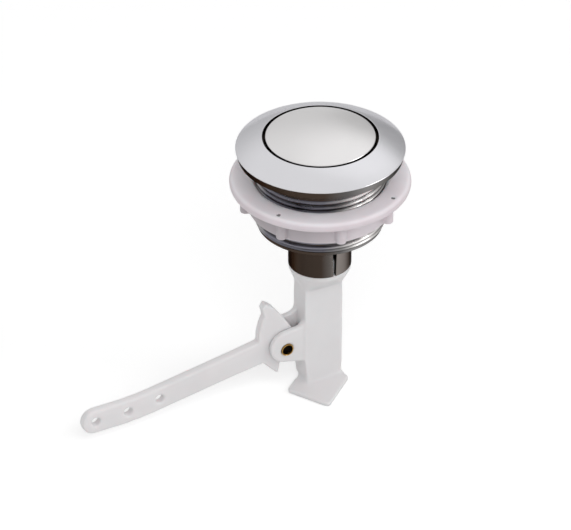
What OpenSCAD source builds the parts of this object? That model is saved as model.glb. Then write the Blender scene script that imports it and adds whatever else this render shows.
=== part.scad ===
// Single push button for a toilet cistern lid, with the lever that pulls the flush valve's chain.
// The origin is on the button's axis, on the face of the bezel that seats on the lid.
// +Z points up out of the lid, and the lever's long arm points along -X.

/* [Bezel] */
// Diameter of the flange over its rim
bezel_d = 75; // [70:0.5:90]
// Height of the rim above the seat
rim_h = 3.7; // [2.5:0.1:6]
// How far the rim's side leans in towards the seat
rim_draft = 1; // [0:0.1:2]
// Rise of the domed flange from its rim to the opening
flange_rise = 5.6; // [4:0.1:8]
// Bulge of the flange's curve above a straight cone
flange_bulge = 0.42; // [0.1:0.02:1]
// Diameter of the opening round the button
opening_d = 51.2; // [44:0.1:51.4]
// Thickness of the flange at the opening
lip_t = 2.8; // [2:0.1:4]
// Width of the ring that seats on the lid
seat_w = 1.8; // [1:0.1:4]
// Depth of the hollow under the flange
recess_h = 2.2; // [0.5:0.1:2.5]

/* [Threaded sleeve] */
// Outside diameter of the thread
thread_d = 58; // [56:0.1:62]
// Distance from one ridge of the thread to the next
thread_pitch = 2.6; // [1.6:0.1:3.4]
// Depth of the thread
thread_depth = 0.8; // [0.4:0.1:1]
// Length of the plain neck between the seat and the thread
thread_start = 6; // [1:0.1:10]
// Bore of the sleeve
sleeve_bore = 52.4; // [52:0.1:53]
// Length of the sleeve below the seat
sleeve_l = 35; // [30:0.5:45]
// Height of the plain pilot below the thread
pilot_h = 1.6; // [0.5:0.1:4]
// How far the pilot stands inside the thread
pilot_step = 0.9; // [0.3:0.1:1.5]

/* [Button] */
// Gap between the button and the bezel
button_gap = 1.3; // [1:0.05:2]
// Rise of the button's crown
crown_h = 3; // [1.5:0.1:5]
// Wall of the button cap
cap_t = 1.6; // [1:0.1:2.4]
// Height of the button cap's skirt
skirt_h = 12; // [10:0.5:14]
// Travel of the button
stroke = 9.5; // [6:0.25:10]
// Diameter of the boss under the cap
cap_boss_d = 10; // [8:0.5:14]
// Diameter of the spigot that plugs into the cap's boss
spigot_d = 6; // [4:0.25:7]
// Length of the spigot
spigot_l = 5; // [3:0.25:6]

/* [Plunger] */
// Thickness of the plunger's head
head_t = 2; // [1.5:0.1:3]
// Drop of the plunger's head below the button's edge
head_drop = 7.3; // [6.5:0.1:8]
// Width of the plunger's stem over its ribs
stem_d = 7; // [6:0.25:7.5]
// Thickness of the stem's cross ribs
stem_rib_t = 2.4; // [1.8:0.1:3.5]
// Radius of the stem's rounded tip
tip_r = 3; // [2:0.1:4]

/* [Return spring] */
// Mean diameter of the coil
spring_d = 19; // [17:0.5:22]
// Diameter of the wire
wire_d = 1.3; // [0.8:0.1:1.6]
// Number of turns
spring_turns = 6; // [4:1:7]

/* [Inner tube] */
// Depth of the cup's floor below the seat
cup_floor_drop = 24; // [22:0.5:28]
// Thickness of the cup's floor
cup_floor_t = 2; // [1.5:0.1:3]
// Height of the guide above the cup's floor
guide_h = 9; // [6:0.5:10]
// Wall of the guide
guide_wall = 1.8; // [1.2:0.1:2.5]
// Outside diameter of the split tube
tube_d = 28.4; // [26:0.1:32]
// Wall of the split tube
tube_wall = 2; // [1.4:0.1:2.6]
// How far the split tube reaches below the sleeve
tube_drop = 21.6; // [16:0.1:30]
// Width of each slit at its upper end
slit_top_w = 2.6; // [1.5:0.1:4]
// Width of each slit at its open end
slit_end_w = 1.2; // [0.8:0.1:2]

/* [Lock nut] */
// Diameter of the nut's flange
nut_d = 80.6; // [74:0.2:90]
// Thickness of the nut's flange
nut_flange_t = 3.9; // [3:0.1:6]
// Rounding of the flange's upper edge
nut_round = 2.4; // [1:0.1:2.8]
// Height of the whole nut
nut_h = 15; // [11:0.1:18]
// Wall of the nut's hub round its bore
hub_wall = 3.3; // [2.4:0.1:4.2]
// Width of the lead-in at each end of the nut's bore
nut_lead = 1.1; // [0.3:0.1:2]
// Gap between the flange's seat and the nut
lid_gap = 11.2; // [4:0.1:18]
// Number of grip lugs
lugs = 8; // [4:1:12]
// Width of a grip lug
lug_w = 4.8; // [3:0.1:8]
// How far the lugs stand out from the hub
lug_out = 4.2; // [3:0.1:5]
// How far the lugs stop short of the hub's lower end
lug_rise = 1.6; // [0:0.1:4]
// Turn of the first lug from +X
lug_turn = 32.5; // [0:0.5:44]

/* [Frame] */
// Diameter of the frame's round head
head_d = 28.2; // [26:0.1:28.4]
// Height of the head's straight rim
head_rim = 2; // [0.5:0.1:4]
// Drop of the column's square shoulder below the head's seat
shoulder_h = 11; // [6:0.1:16]
// Length of the neck that the split tube grips
neck_l = 7; // [4:0.1:12]
// Width of the hollow column's side wall at the top
column_w = 19; // [17:0.1:20]
// Depth of the column over its side walls
column_t = 12; // [11:0.1:14]
// Distance of the column's back from the button's axis
column_back = 8.8; // [7.8:0.1:10]
// Wall of the column's front and back and of the neck
column_wall = 2.2; // [1.6:0.1:2.4]
// How much the column narrows towards the foot
column_taper = 1; // [0:0.1:2]
// Height of the lever's slot above the pivot
slot_rise = 7; // [6:0.1:9]
// Depth of the lever's slot below the pivot
slot_drop = 9; // [8:0.1:9.2]
// Drop of the foot plate's top below the seat
foot_drop = 117.3; // [112:0.1:130]
// Thickness of the foot plate
foot_t = 2; // [1.5:0.1:4]
// Rounding of the foot plate's corners
foot_round = 2; // [0.5:0.1:3]
// Distance of the foot plate's front corner from the axis, towards the lever's arm
foot_corner_x = 8.2; // [4:0.1:12]
// Distance of the foot plate's front corner from the axis, towards the near side
foot_corner_y = 25.2; // [20:0.1:32]
// Width of the foot plate
foot_w = 22.2; // [18:0.1:28]
// Length of the foot plate's near edge
foot_l = 23.8; // [20:0.1:26]
// Turn of the foot plate against the column
foot_turn = 40; // [35:0.5:45]
// How far the foot plate's width is off square
foot_skew = 9; // [0:0.5:10]
// How far the foot plate reaches past the column on its hidden side
foot_margin = 1.2; // [1:0.1:4]

/* [Ears and pin] */
// Distance of the pivot from the button's axis
pivot_reach = 19; // [17:0.1:22]
// Drop of the pivot below the seat
pivot_drop = 96.1; // [92:0.1:100]
// Gap between the ears
ear_gap = 5; // [4.6:0.1:5.4]
// Thickness of each ear
ear_t = 2.9; // [2.2:0.1:3.2]
// Radius of the ears' round ends
ear_r = 8; // [7:0.1:9]
// Height of the ears' round centre above the pivot
ear_lift = 1.3; // [0:0.1:2]
// Drop of the ears' lower edge below the pivot at the column
ear_drop = 9.2; // [7:0.1:11]
// Height of the near ear's upper edge above the pivot at the column
ear_root_h = 13; // [11:0.1:16]
// How far the crest of the ears' upper edge stands above their round
ear_crest = 0.6; // [0.2:0.1:1.5]
// How far the far ear stands above the near one
far_ear_rise = 3; // [0:0.1:4]
// Outside diameter of the hollow pin
pin_d = 6; // [5:0.1:7]
// Wall of the hollow pin
pin_wall = 0.6; // [0.4:0.05:0.8]
// How far the pin's rolled ends stand out from the ears
pin_roll = 0.3; // [0.2:0.05:0.5]
// Running clearance round the pin, on the radius
pin_play = 0.06; // [0.02:0.01:0.1]

/* [Lever] */
// Thickness of the lever
lever_t = 4.4; // [4:0.1:4.4]
// Height of the long arm
arm_h = 12.2; // [10:0.1:14]
// Reach of the arm's end from the pivot
arm_reach = 100.3; // [80:0.1:120]
// Downward slope of the arm
arm_slope = 9.4; // [6:0.1:12]
// Radius of the bend that levels the arm
arm_bend_r = 140; // [100:5:200]
// Height of the arm's middle line above the pivot, carried back to the pivot
arm_lift = 1.7; // [0:0.1:3]
// Length of the arm's level end, up to its round
arm_level = 8; // [0:0.5:12]
// Diameter of the chain holes
chain_hole_d = 4.2; // [3:0.1:5]
// Number of chain holes
chain_holes = 3; // [1:1:4]
// Distance between chain holes
chain_pitch = 15.7; // [10:0.1:18]
// Distance of the outer chain hole from the arm's end
chain_inset = 6.6; // [5:0.1:10]
// Height of the inner arm that the plunger presses
inner_arm_h = 6; // [5:0.1:7]
// How far the inner arm reaches past the button's axis
inner_arm_over = 3; // [2:0.1:4]
// Rounding of the inner arm's end
pad_end_r = 2; // [0.5:0.1:2.4]
// Distance of the fan's tip from the pivot, towards the long arm
fan_tip_reach = 8.8; // [7:0.1:12]
// Height of the fan's tip above the pivot
fan_tip_h = 25.8; // [22:0.1:32]
// Width of the fan's blunt tip
fan_tip_w = 5.5; // [4:0.1:7]
// Height of the small hook at the fan's tip
fan_hook_h = 7; // [5:0.1:9]
// Depth of the notch under the hook
fan_hook_d = 1.1; // [0.3:0.1:2]
// Distance of the fan's root from the pivot, towards the long arm
fan_root = 12.8; // [11:0.1:15]
// Bow of the fan's flank
fan_bow = 0.5; // [0.1:0.1:2]
// Height of the flank's foot above the pivot
fan_flank_h = 4.6; // [3:0.1:6]
// Distance of the tooth's point from the pivot, towards the long arm
tooth_reach = 3.5; // [2:0.1:6]
// Width of the tooth where its back meets the long arm
tooth_w = 7.2; // [5:0.1:9]
// Depth of the tooth below the pivot
tooth_h = 13.8; // [10:0.1:16]
// Radius of the lever's hub
lever_hub_r = 6.4; // [5.5:0.1:7]
// Play between the plunger's tip and the inner arm
tip_play = 0.3; // [0.2:0.05:0.5]

/* [Hidden] */

// Smoothness of turned forms and of small rounds
turned = 120;
small = 40;
// Running gap between the button or the plunger and what guides it
slide_play = 0.3;
// Running gap between the nut and the thread, on the radius
thread_play = 0.08;
// Fit of pieces that are pressed together
snug = 0.1;
// Overlap of pieces of one solid
weld = 0.5;
// Overshoot of a cutter
past = 1;
// Height of a quarter round over its chord, for a radius of 1
quarter_sag = 1 - sqrt(0.5);

bezel_r = bezel_d / 2;
opening_r = opening_d / 2;
thread_r = thread_d / 2;
bore_r = sleeve_bore / 2;
opening_z = rim_h + flange_rise;
lip_z = opening_z - lip_t;
sleeve_z = -sleeve_l;
thread_low = sleeve_z + pilot_h + pilot_step;
thread_rings = floor((-thread_start - thread_low) / thread_pitch);

cap_r = opening_r - button_gap;
carrier_top = opening_z - head_drop;
carrier_z = carrier_top - head_t;
carrier_r = cap_r - cap_t - snug;

cup_r = bore_r - snug;
cup_in_r = cap_r + slide_play;
floor_top = -cup_floor_drop;
floor_z = floor_top - cup_floor_t;
guide_in_r = stem_d / 2 + slide_play;
guide_r = guide_in_r + guide_wall;
tube_r = tube_d / 2;
tube_in_r = tube_r - tube_wall;
tube_z = sleeve_z - tube_drop;

nut_z = -lid_gap;
nut_bore_r = thread_r + thread_play;
hub_r = nut_bore_r + hub_wall;
hub_z = nut_z - nut_h;
lug_reach = hub_r + lug_out;

column_front = column_back - column_w;
ear_out = ear_gap / 2 + ear_t;

pivot = [-pivot_reach, -pivot_drop];
pin_r = pin_d / 2;
// The plunger turns the lever evenly about the level, so half the travel lies each side of it
half_swing = atan(stroke / 2 / pivot_reach);
pad_h = inner_arm_h / 4;
tip_z = pivot[1] + pivot_reach * tan(half_swing) + (pad_h + tip_r) / cos(half_swing) + tip_play;

// Where the long arm's middle line starts to bend, from the pivot
arm_bend_x = -arm_reach + arm_h / 2 + arm_level + arm_bend_r * sin(arm_slope);
arm_bend_centre = [arm_bend_x, arm_lift + arm_bend_x * tan(arm_slope)]
    + arm_bend_r * [-sin(arm_slope), cos(arm_slope)];

// A curve of n steps from p to q that bulges to its left by sag, or to its right where sag is negative
function arc(p, q, sag, n = 10) =
    let (d = q - p, l = norm(d), r = (l * l / 4 + sag * sag) / (2 * sag), left = [-d[1], d[0]] / l,
         c = (p + q) / 2 + left * (sag - r), a0 = atan2(p[1] - c[1], p[0] - c[0]), half = asin(l / 2 / r))
    [for (i = [0:n]) c + abs(r) * [cos(a0 - 2 * half * i / n), sin(a0 - 2 * half * i / n)]];

// The profile of a round crown of radius r and rise h above z, from its edge to its middle
function crown(r, z, h, n = 12) =
    let (ball = (r * r + h * h) / 2 / h)
    [for (i = [0:n]) let (x = r * (1 - i / n)) [x, z + h - ball + sqrt(ball * ball - x * x)]];

// The corners of an outline, listed against the clock, each rounded by its own radius
function rounded(corners, radii, n = 5) =
    [for (i = [0:len(corners) - 1])
        let (k = len(corners), p = corners[i],
             a = corners[(i + k - 1) % k] - p, b = corners[(i + 1) % k] - p,
             ua = a / norm(a), ub = b / norm(b), half = acos(ua * ub) / 2, r = radii[i],
             c = p + (ua + ub) / norm(ua + ub) * r / sin(half), s = p + ua * r / tan(half) - c,
             turn = (ua[0] * ub[1] - ua[1] * ub[0] > 0 ? -1 : 1) * (180 - 2 * half),
             a0 = atan2(s[1], s[0]))
        each r < 0.05 ? [p] : [for (j = [0:n]) c + r * [cos(a0 + turn * j / n), sin(a0 + turn * j / n)]]];

// An outline drawn in X and Z, made solid between two values of Y
module slab(y0, y1) {
    translate([0, y1, 0])
        rotate([90, 0, 0])
            linear_extrude(y1 - y0) children();
}

// A ring turned about the button's axis, between two radii and two heights
module ring(r0, r1, z0, z1) {
    rotate_extrude($fn = turned)
        translate([r0, z0]) square([r1 - r0, z1 - z0]);
}

// The profile of the thread's turns, drawn as plain rings, from their low end up to the plain neck
function thread_profile() =
    let (root_r = thread_r - thread_depth, step = thread_pitch / 4)
    [for (i = [0:thread_rings - 1]) let (z = thread_low + thread_pitch * i)
        each [[thread_r, z], [thread_r, z + step], [root_r, z + 2 * step], [root_r, z + 3 * step]]];

module bezel() {
    edge = 0.5;
    seat_r = bezel_r - rim_draft;
    color("gainsboro")
        rotate_extrude($fn = turned)
            polygon(concat(
                [[bore_r, sleeve_z], [thread_r - pilot_step - edge, sleeve_z],
                 [thread_r - pilot_step, sleeve_z + edge], [thread_r - pilot_step, sleeve_z + pilot_h],
                 each thread_profile(),
                 [thread_r, thread_low + thread_rings * thread_pitch], [thread_r, 0],
                 [thread_r + recess_h / 2, recess_h], [seat_r - seat_w - recess_h / 4, recess_h],
                 [seat_r - seat_w, 0], [seat_r, 0],
                 [bezel_r, rim_h - edge], [bezel_r, rim_h]],
                arc([bezel_r - edge / 2, rim_h + edge / 2], [opening_r + edge, opening_z], -flange_bulge),
                [[opening_r, opening_z - edge], [opening_r, lip_z], [bore_r, lip_z]]));
}

module inner_tube() {
    gusset_t = 1.6;
    color("dimgray")
        difference() {
            union() {
                ring(cup_in_r, cup_r, floor_z, lip_z);
                ring(guide_in_r, cup_r, floor_z, floor_top);
                ring(guide_in_r, guide_r, floor_z, floor_top + guide_h);
                ring(tube_in_r, tube_r, tube_z, floor_z + weld);
                // Gussets stiffen the tube's root under the floor
                for (a = [45:90:315])
                    rotate([0, 0, a])
                        slab(-gusset_t / 2, gusset_t / 2)
                            polygon([[tube_r - weld, floor_z + weld], [cup_r - weld, floor_z + weld],
                                     [cup_r - weld, floor_z], [tube_r - weld, sleeve_z + past]]);
            }
            // The slits let the tube's end spring over the frame's neck
            for (a = [0, 180])
                rotate([0, 0, a])
                    slab(tube_in_r - tube_r, tube_r + past)
                        polygon([[-slit_end_w / 2, tube_z - past], [slit_end_w / 2, tube_z - past],
                                 [slit_top_w / 2, sleeve_z + past], [-slit_top_w / 2, sleeve_z + past]]);
        }
}

module button_cap() {
    edge = 0.6;
    under = crown(cap_r - cap_t, opening_z - cap_t, crown_h);
    color("gainsboro") {
        rotate_extrude($fn = turned)
            polygon(concat([[cap_r - cap_t, opening_z - skirt_h], [cap_r, opening_z - skirt_h],
                            [cap_r, opening_z - edge]],
                           crown(cap_r - edge, opening_z, crown_h),
                           [for (i = [len(under) - 1:-1:0]) under[i]]));
        ring(spigot_d / 2 + snug / 2, cap_boss_d / 2, carrier_top, opening_z + crown_h - cap_t / 2);
    }
}

module plunger() {
    tip_end = tip_z - tip_r;
    color("white") {
        // The head closes the cap's skirt, and its spigot plugs into the cap's boss
        translate([0, 0, carrier_z]) cylinder(r = carrier_r, h = head_t, $fn = turned);
        translate([0, 0, carrier_top - weld]) cylinder(d = spigot_d, h = spigot_l + weld, $fn = small);
        // The stem is a cross of two ribs cut from a round bar
        intersection() {
            translate([0, 0, tip_z]) cylinder(d = stem_d, h = carrier_z - tip_z + weld, $fn = small);
            union() {
                for (a = [0, 90])
                    rotate([0, 0, a])
                        translate([-stem_d, -stem_rib_t / 2, tip_z])
                            cube([2 * stem_d, stem_rib_t, carrier_z - tip_z + weld]);
            }
        }
        translate([0, 0, tip_z]) cylinder(r = tip_r, h = tip_r, $fn = small);
        translate([0, 0, tip_z]) sphere(r = tip_r, $fn = small);
    }
}

// A round wire swept along a coil, each ring of points square to the axis
module return_spring() {
    sides = 6;
    steps = 20;
    wire_r = wire_d / 2;
    start = floor_top + snug + wire_r;
    rise = carrier_z - snug - wire_r - start;
    rings = spring_turns * steps;
    points = [for (i = [0:rings]) let (a = 360 * i / steps, z = start + rise * i / rings)
              for (j = [0:sides - 1]) let (b = 360 * j / sides, r = spring_d / 2 + wire_r * cos(b))
              [r * cos(a), r * sin(a), z + wire_r * sin(b)]];
    walls = [for (i = [0:rings - 1]) for (j = [0:sides - 1]) let (k = (j + 1) % sides)
             [i * sides + j, i * sides + k, (i + 1) * sides + k, (i + 1) * sides + j]];
    first = [for (j = [sides - 1:-1:0]) j];
    last = [for (j = [0:sides - 1]) rings * sides + j];
    color("silver")
        polyhedron(points, concat([first], walls, [last]), convexity = 10);
}

// The plan of one grip lug, from inside the hub's wall to its round outer end
module lug_plan() {
    lug_r = lug_w / 2;
    translate([hub_r - weld, -lug_r]) square([lug_reach - lug_r - hub_r + weld, lug_w]);
    translate([lug_reach - lug_r, 0]) circle(r = lug_r, $fn = small);
}

module lock_nut() {
    nut_r = nut_d / 2;
    rim_z = nut_z - nut_flange_t;
    lug_z = hub_z + lug_rise;
    edge = 0.4;
    pit_r = 0.9;
    pit_h = 0.5;
    color("lavenderblush")
        difference() {
            union() {
                rotate_extrude($fn = turned)
                    polygon(concat(
                        [[nut_bore_r, hub_z + nut_lead], [nut_bore_r + nut_lead, hub_z],
                         [hub_r - edge, hub_z], [hub_r, hub_z + edge], [hub_r, rim_z],
                         [nut_r - edge, rim_z]],
                        arc([nut_r, nut_z - nut_round], [nut_r - nut_round, nut_z],
                            -quarter_sag * nut_round, 6),
                        [[nut_bore_r + nut_lead, nut_z], [nut_bore_r, nut_z - nut_lead]]));
                for (i = [0:lugs - 1])
                    rotate([0, 0, lug_turn + 360 / lugs * i])
                        translate([0, 0, lug_z])
                            linear_extrude(rim_z + weld - lug_z) lug_plan();
            }
            // Small sink pits lie over every second lug
            for (i = [0:2:lugs - 1])
                rotate([0, 0, lug_turn + 360 / lugs * i])
                    translate([lug_reach, 0, nut_z - pit_h])
                        cylinder(r = pit_r, h = pit_h + past, $fn = small);
        }
}

// The column's outline in X and Z, drawn in by a margin, from one height up to another
module column_outline(margin, low, high) {
    bend = pivot[1] - ear_drop;
    polygon([[column_front + margin, high], [column_front + margin, bend],
             [column_front + column_taper + margin, low], [column_back - margin, low],
             [column_back - margin, high]]);
}

// The foot plate's outline, whose hidden side runs square across behind the column
module foot_outline() {
    corner = [-foot_corner_x, -foot_corner_y];
    along = [cos(foot_turn), sin(foot_turn)];
    across = [cos(90 - foot_skew + foot_turn), sin(90 - foot_skew + foot_turn)];
    left = corner + foot_w * across;
    right = corner + foot_l * along;
    back_y = column_t / 2 + foot_margin;
    foot = [left, corner, right, [max(right[0], column_back + foot_margin), back_y],
            left + along * (back_y - left[1]) / along[1]];
    polygon(rounded(foot, [for (p = foot) foot_round]));
}

module frame() {
    head_r = head_d / 2;
    neck_r = tube_in_r - snug;
    rim_z = tube_z - head_rim;
    shoulder_z = tube_z - shoulder_h;
    foot_z = -foot_drop - foot_t;
    // The stem slides down between the column's side walls
    wall_in = guide_in_r;
    color("white")
        difference() {
            union() {
                // The split tube grips the neck and seats on the head
                ring(neck_r - column_wall, neck_r, tube_z - weld, tube_z + neck_l);
                // The head narrows from its round rim to the square column
                hull() {
                    translate([0, 0, rim_z]) cylinder(r = head_r, h = head_rim, $fn = 64);
                    translate([column_front + weld, weld - column_t / 2, shoulder_z])
                        cube([column_w - 2 * weld, column_t - 2 * weld, weld]);
                }
                slab(-column_t / 2, column_t / 2) column_outline(0, -foot_drop - weld, rim_z);
                slab(-ear_out, -ear_gap / 2) ear_outline(0);
                slab(ear_gap / 2, ear_out) ear_outline(far_ear_rise);
                translate([0, 0, foot_z]) linear_extrude(foot_t) foot_outline();
            }
            // The hollow runs from the neck right through the foot
            slab(-wall_in, wall_in) column_outline(column_wall, foot_z - past, tube_z + neck_l + past);
            // The inner arm reaches the plunger through a slot between the ears
            translate([column_front - past, -ear_gap / 2, pivot[1] - slot_drop])
                cube([column_wall + 2 * past, ear_gap, slot_drop + slot_rise]);
            slab(-column_t, column_t)
                translate(pivot) circle(r = pin_r, $fn = small);
        }
}

// A point on the ears' round, at a distance x from its centre, level with it or above
function on_ear(x) = [x, sqrt(ear_r * ear_r - x * x)];

// One ear with the arm that joins it to the column's front, where rise lifts its upper edge
module ear_outline(rise) {
    centre = pivot + [0, ear_lift];
    low = pivot[1] - ear_drop;
    high = pivot[1] + ear_root_h + rise;
    root = column_front + column_wall / 2;
    crest = centre + [ear_r / 2, ear_r + ear_crest + rise];
    translate(centre) circle(r = ear_r, $fn = 64);
    polygon(concat([centre - on_ear(ear_r / 4), [column_front, low], [root, low], [root, high]],
                   arc([column_front, high], crest, 1, 6),
                   [centre + on_ear(-ear_r / 4) + [0, rise], centre + on_ear(-ear_r / 2)]));
}

module pivot_pin() {
    half = ear_out + pin_roll;
    inner = pin_r - pin_wall;
    rolled = pin_r + pin_roll;
    color("darkgoldenrod")
        translate([pivot[0], 0, pivot[1]])
            rotate([90, 0, 0])
                rotate_extrude($fn = small)
                    polygon([[inner, -half], [rolled, -half], [rolled, -ear_out], [pin_r, -ear_out],
                             [pin_r, ear_out], [rolled, ear_out], [rolled, half], [inner, half]]);
}

// A point of the long arm's middle line at a distance from the pivot, along X
function arm_point(reach) =
    -reach > arm_bend_x ? [-reach, arm_lift - reach * tan(arm_slope)]
    : -reach < arm_bend_centre[0] ? [-reach, arm_bend_centre[1] - arm_bend_r]
    : [-reach, arm_bend_centre[1] - sqrt(arm_bend_r * arm_bend_r - pow(-reach - arm_bend_centre[0], 2))];

// The long arm slopes down from the hub and then bends to level, with a round end
module arm_outline() {
    up = arm_h / 2;
    slope = arm_slope;
    centre = arm_bend_centre;
    end = arm_point(arm_reach - up);
    root = [0, arm_lift];
    off = up * [-sin(slope), cos(slope)];
    steps = 8;
    polygon(concat([root + off],
                   [for (i = [0:steps]) let (t = slope * (1 - i / steps))
                       centre + (arm_bend_r - up) * [sin(t), -cos(t)]],
                   [end + [0, up], end - [0, up]],
                   [for (i = [0:steps]) let (t = slope * i / steps)
                       centre + (arm_bend_r + up) * [sin(t), -cos(t)]],
                   [root - off]));
    translate(end) circle(r = up, $fn = 64);
}

// The fan stands up beside the column: a bowed flank, a blunt tip with a small hook, and a round back
module fan_outline() {
    tip = [-fan_tip_reach, fan_tip_h];
    // The blunt tip slopes down both ways, and its two ends stand off its peak by shares of its width
    shoulder = tip + [0.6, -0.5] * fan_tip_w;
    nose = tip - [0.4, 0.47] * fan_tip_w;
    notch = [nose[0] + fan_hook_d, fan_tip_h - fan_hook_h];
    flank = [lever_hub_r, fan_flank_h];
    polygon(concat([[-fan_root, 0], [lever_hub_r, 0]],
                   arc(flank, shoulder, -fan_bow, 8),
                   [tip, tip - [0.16, 0.09] * fan_tip_w],
                   arc(nose, notch, 0.2, 4),
                   arc(notch, [-fan_root, arm_h / 2], -0.8, 8)));
}

// The tooth points down beside the ear, with a blunt point
module tooth_outline() {
    blunt = 0.7;
    back = tooth_reach + tooth_w;
    polygon([[0, 0], [-back, arm_lift - back * tan(arm_slope) - arm_h / 2 / cos(arm_slope)],
             [-tooth_reach - blunt, blunt / 2 - tooth_h], [-tooth_reach, -tooth_h],
             [blunt - tooth_reach, blunt - tooth_h], [-lever_hub_r / 4, -lever_hub_r]]);
}

// The inner arm lies under the plunger's tip, raised by half of the swing
module inner_arm_outline() {
    inner_l = pivot_reach / cos(half_swing) + inner_arm_over - pad_end_r;
    rotate(half_swing)
        translate([0, pad_h - inner_arm_h]) {
            square([inner_l, inner_arm_h]);
            translate([0, pad_end_r]) square([inner_l + pad_end_r, inner_arm_h - 2 * pad_end_r]);
            for (y = [pad_end_r, inner_arm_h - pad_end_r])
                translate([inner_l, y]) circle(r = pad_end_r, $fn = 32);
        }
}

module lever() {
    color("white")
        difference() {
            slab(-lever_t / 2, lever_t / 2)
                translate(pivot) {
                    arm_outline();
                    fan_outline();
                    circle(r = lever_hub_r, $fn = 64);
                    tooth_outline();
                    inner_arm_outline();
                }
            slab(-column_t, column_t)
                translate(pivot) circle(r = pin_r + pin_play, $fn = small);
            slab(-column_t, column_t)
                translate(pivot)
                    for (i = [0:chain_holes - 1])
                        translate(arm_point(arm_reach - chain_inset - chain_pitch * i))
                            circle(d = chain_hole_d, $fn = small);
        }
}

bezel();
inner_tube();
button_cap();
plunger();
return_spring();
lock_nut();
frame();
pivot_pin();
lever();
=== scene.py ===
"""Looks of a cistern push button: chrome, plate with painted dark and bright reflections and painted shade, soft
white plastic and a brass pin on a pale floor.
"""

import math

import bmesh
import bpy
from mathutils import Matrix, Vector


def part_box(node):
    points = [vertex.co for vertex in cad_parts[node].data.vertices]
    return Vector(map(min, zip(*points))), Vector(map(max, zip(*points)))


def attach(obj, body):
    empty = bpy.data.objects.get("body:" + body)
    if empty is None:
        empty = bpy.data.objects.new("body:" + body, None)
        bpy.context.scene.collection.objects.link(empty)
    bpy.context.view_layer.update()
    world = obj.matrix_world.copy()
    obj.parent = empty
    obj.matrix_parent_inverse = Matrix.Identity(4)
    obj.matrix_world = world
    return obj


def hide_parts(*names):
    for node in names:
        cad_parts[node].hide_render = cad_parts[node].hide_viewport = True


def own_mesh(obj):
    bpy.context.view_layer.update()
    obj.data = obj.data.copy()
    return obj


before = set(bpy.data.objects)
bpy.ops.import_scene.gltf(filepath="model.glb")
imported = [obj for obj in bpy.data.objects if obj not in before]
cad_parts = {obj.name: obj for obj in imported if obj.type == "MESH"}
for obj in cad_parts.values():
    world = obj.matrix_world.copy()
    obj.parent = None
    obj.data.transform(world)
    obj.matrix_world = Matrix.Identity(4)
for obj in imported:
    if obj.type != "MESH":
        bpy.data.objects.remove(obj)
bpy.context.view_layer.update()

bl_info = {
    "name": "Cistern Push Button",
    "version": (1, 0, 0),
    "blender": (4, 5, 0),
    "location": "3D View > Sidebar > Push Button",
    "description": "Dresses the solids of a cistern push button and sets its stage",
    "category": "Object",
}

MM = 0.001
FULL_TURN = 2 * math.pi
# The side of the button's axis towards which the plates get a painted bright reflection and the nut's hub loses its
# painted shade
PAINTED_LIGHT_SIDE = (0.887, -0.462, 0)

# Steps of the spin that makes a large turned piece
TURN_STEPS = 160
# Distance under which two vertices are one
MERGE = 0.002 * MM

BEZEL_LOW, BEZEL_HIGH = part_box("bezel")
CAP_LOW, CAP_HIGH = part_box("button_cap")
SPRING_LOW, SPRING_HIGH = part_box("return_spring")
PIN_LOW, PIN_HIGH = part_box("pivot_pin")
PIVOT = (PIN_LOW + PIN_HIGH) / 2
TUBE_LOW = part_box("inner_tube")[0]
FOOT_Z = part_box("frame")[0].z


def length(name, description, default, top=0.2):
    """A size in metres that a user can change."""
    return bpy.props.FloatProperty(name=name, description=description, default=default, min=0, max=top,
                                   precision=5, unit="LENGTH", subtype="DISTANCE")


def share(name, description, default):
    """A value between nothing and all."""
    return bpy.props.FloatProperty(name=name, description=description, default=default, min=0, max=1,
                                   subtype="FACTOR")


def colour(name, description, default):
    """A colour, as linear red, green and blue."""
    return bpy.props.FloatVectorProperty(name=name, description=description, default=default, min=0, max=1,
                                         size=3, subtype="COLOR")


class BezelSizes(bpy.types.PropertyGroup):
    """Sizes of the flange and its threaded sleeve"""

    opening_r: length("Opening", "Radius of the opening round the button", 25.6 * MM)
    rim_h: length("Rim", "Height of the rim above the seat", 3.7 * MM)
    rim_draft: length("Rim draft", "How far the rim's side leans in towards the seat", 1 * MM)
    dome_sag: length("Dome", "Bulge of the flange above a straight cone", 0.42 * MM)
    lip_t: length("Lip", "Thickness of the flange at the opening", 2.8 * MM)
    lip_shine: length("Lip's shine", "Height of the bright plate inside the opening", 1.1 * MM)
    seat_w: length("Seat", "Width of the ring that seats on the lid", 1.8 * MM)
    recess_h: length("Recess", "Depth of the hollow under the flange", 2.2 * MM)
    thread_r: length("Thread", "Radius over the thread's crests", 29 * MM)
    thread_pitch: length("Pitch", "Distance from one crest of the thread to the next", 2.6 * MM)
    thread_start: length("Neck", "Length of the plain neck between the seat and the thread", 6 * MM)
    thread_depth: length("Thread depth", "Depth of the thread", 0.8 * MM)
    bore_r: length("Bore", "Radius of the sleeve's bore", 26.2 * MM)
    pilot_h: length("Pilot", "Height of the plain pilot below the thread", 1.6 * MM)
    pilot_step: length("Pilot step", "How far the pilot stands inside the thread", 0.9 * MM)
    edge: length("Edge", "Rounding of the polished edges", 0.45 * MM)


class ButtonSizes(bpy.types.PropertyGroup):
    """Sizes of the button cap and its return spring"""

    crown_h: length("Crown", "Rise of the button's crown", 3 * MM)
    cap_t: length("Wall", "Wall of the cap", 1.6 * MM)
    boss_r: length("Boss", "Radius of the boss under the cap", 5 * MM)
    socket_r: length("Socket", "Radius of the boss's socket", 3.05 * MM)
    socket_z: length("Socket's mouth", "Height of the boss's open end above the seat", 2 * MM)
    edge: length("Edge", "Rounding of the cap's edge", 0.4 * MM)
    wire_r: length("Wire", "Radius of the spring's wire", 0.65 * MM)
    coil_turns: bpy.props.IntProperty(name="Turns", description="Turns of the spring", default=6, min=3, max=9)


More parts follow.
